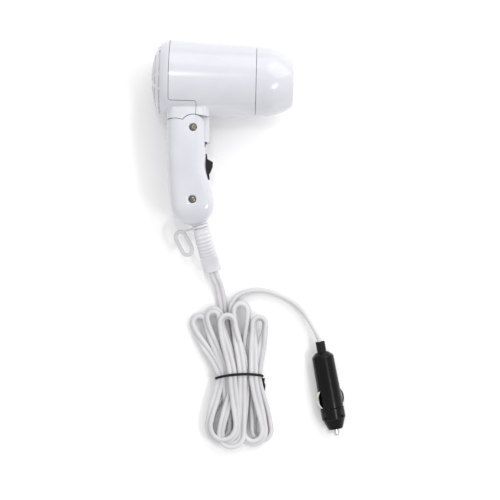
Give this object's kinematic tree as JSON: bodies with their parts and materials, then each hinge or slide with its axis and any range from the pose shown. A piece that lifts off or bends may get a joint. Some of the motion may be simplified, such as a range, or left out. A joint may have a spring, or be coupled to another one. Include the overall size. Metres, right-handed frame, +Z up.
{
  "type": "hair dryer",
  "caption": "Folding travel hair dryer: round barrel, hinged handle with a thumb slide switch, hanging loop, tied lead and a vehicle socket plug.",
  "frame": {"origin": "centre of the dryer's bounding box in plan, on the surface it lies on; lead and plug left out", "axes": "+X towards the air outlet along the barrel, +Y from the cord end of the handle towards the barrel's top, +Z up from the surface"},
  "size_m": [0.1761, 0.3575, 0.068],
  "materials": {
    "white_abs": "gloss",
    "dark_plastic": "matt",
    "white_pvc": "matt",
    "cord_pvc": "matt",
    "mica": "matt",
    "nylon": "satin",
    "black_gloss": "gloss",
    "black_rubber": "matt",
    "carbon": "matt",
    "wire_cover": "matt",
    "steel": "satin",
    "screw_bronze": "satin",
    "nichrome": "satin",
    "zinc_steel": "satin",
    "laminations": "satin",
    "aluminium": "satin",
    "nickel": "polished",
    "brass": "satin",
    "copper": "satin",
    "bronze": "satin",
    "ferrite": "matt",
    "glass": "clear"
  },
  "bodies": {
    "handle": {"handle_shell_upper": "white_abs", "handle_shell_lower": "white_abs", "hinge_sleeve": "steel", "hinge_washers": "nylon", "hinge_screw": "screw_bronze", "handle_screw": "screw_bronze", "switch_bezel": "dark_plastic", "switch_body": "dark_plastic", "switch_terminals": "brass", "handle_wires": "wire_cover", "cord_clamp": "nylon", "clamp_screws": "zinc_steel", "cord_sleeve": "white_pvc", "cord_exit": "cord_pvc", "cord_hank": "cord_pvc", "cord_lead": "cord_pvc", "twist_tie": "black_rubber", "plug_boot": "black_rubber", "plug_body": "black_gloss", "plug_cap": "black_gloss", "plug_terminal": "brass", "fuse_spring": "steel"},
    "barrel": {"main_housing": "white_abs", "rear_housing": "white_abs", "front_nozzle": "white_abs", "outlet_grille": "dark_plastic", "intake_screen": "steel", "heater_tube": "mica", "heater_frame": "mica", "heating_coil": "nichrome", "thermostat": "aluminium", "thermal_fuse": "nickel", "motor_holder": "nylon", "motor_can": "zinc_steel", "motor_end_cap": "nylon", "motor_magnets": "ferrite", "motor_bearings": "bronze", "motor_brushes": "carbon", "motor_terminals": "brass", "barrel_wires": "wire_cover"},
    "rotor": {"motor_shaft": "steel", "armature": "laminations", "commutator": "copper", "fan_impeller": "nylon"},
    "switch_slider": {"switch_knob": "dark_plastic"},
    "loop": {"hanging_loop": "white_pvc"},
    "plug_contact": {"plug_tip": "nickel", "plug_fuse": "glass"},
    "leaf_left": {"contact_left": "nickel"},
    "leaf_right": {"contact_right": "nickel"}
  },
  "joints": [
    {"name": "barrel_fold", "type": "hinge", "parent": "handle", "child": "barrel", "pos_m": [-0.0236, 0.0032, 0.034], "axis": [0, 0, -1], "range_deg": [0, 75]},
    {"name": "fan_spin", "type": "hinge", "parent": "barrel", "child": "rotor", "pos_m": [0, 0.046, 0.034], "axis": [1, 0, 0], "continuous": true},
    {"name": "switch_slide", "type": "slide", "parent": "handle", "child": "switch_slider", "axis": [-0.134, 0.991, 0], "range_m": [-0.0034, 0.0034]},
    {"name": "loop_swing", "type": "hinge", "parent": "handle", "child": "loop", "pos_m": [-0.01611, -0.08086, 0.034], "axis": [0.284, -0.9588, 0], "range_deg": [-40, 15]},
    {"name": "plug_tip_press", "type": "slide", "parent": "handle", "child": "plug_contact", "axis": [0.2023, -0.9793, 0], "range_m": [-0.003, 0], "stiffness_N_per_m": 300, "springref_m": 0.004, "deforming": ["fuse_spring"]},
    {"name": "left_contact_press", "type": "hinge", "parent": "handle", "child": "leaf_left", "pos_m": [0.09129, -0.22242, 0.01424], "axis": [0.3983, 0.0823, 0.9135], "range_deg": [0, 14], "stiffness_Nm_per_rad": 0.03},
    {"name": "right_contact_press", "type": "hinge", "parent": "handle", "child": "leaf_right", "pos_m": [0.10775, -0.21902, 0.00676], "axis": [-0.3983, -0.0823, -0.9135], "range_deg": [0, 14], "stiffness_Nm_per_rad": 0.03}
  ]
}
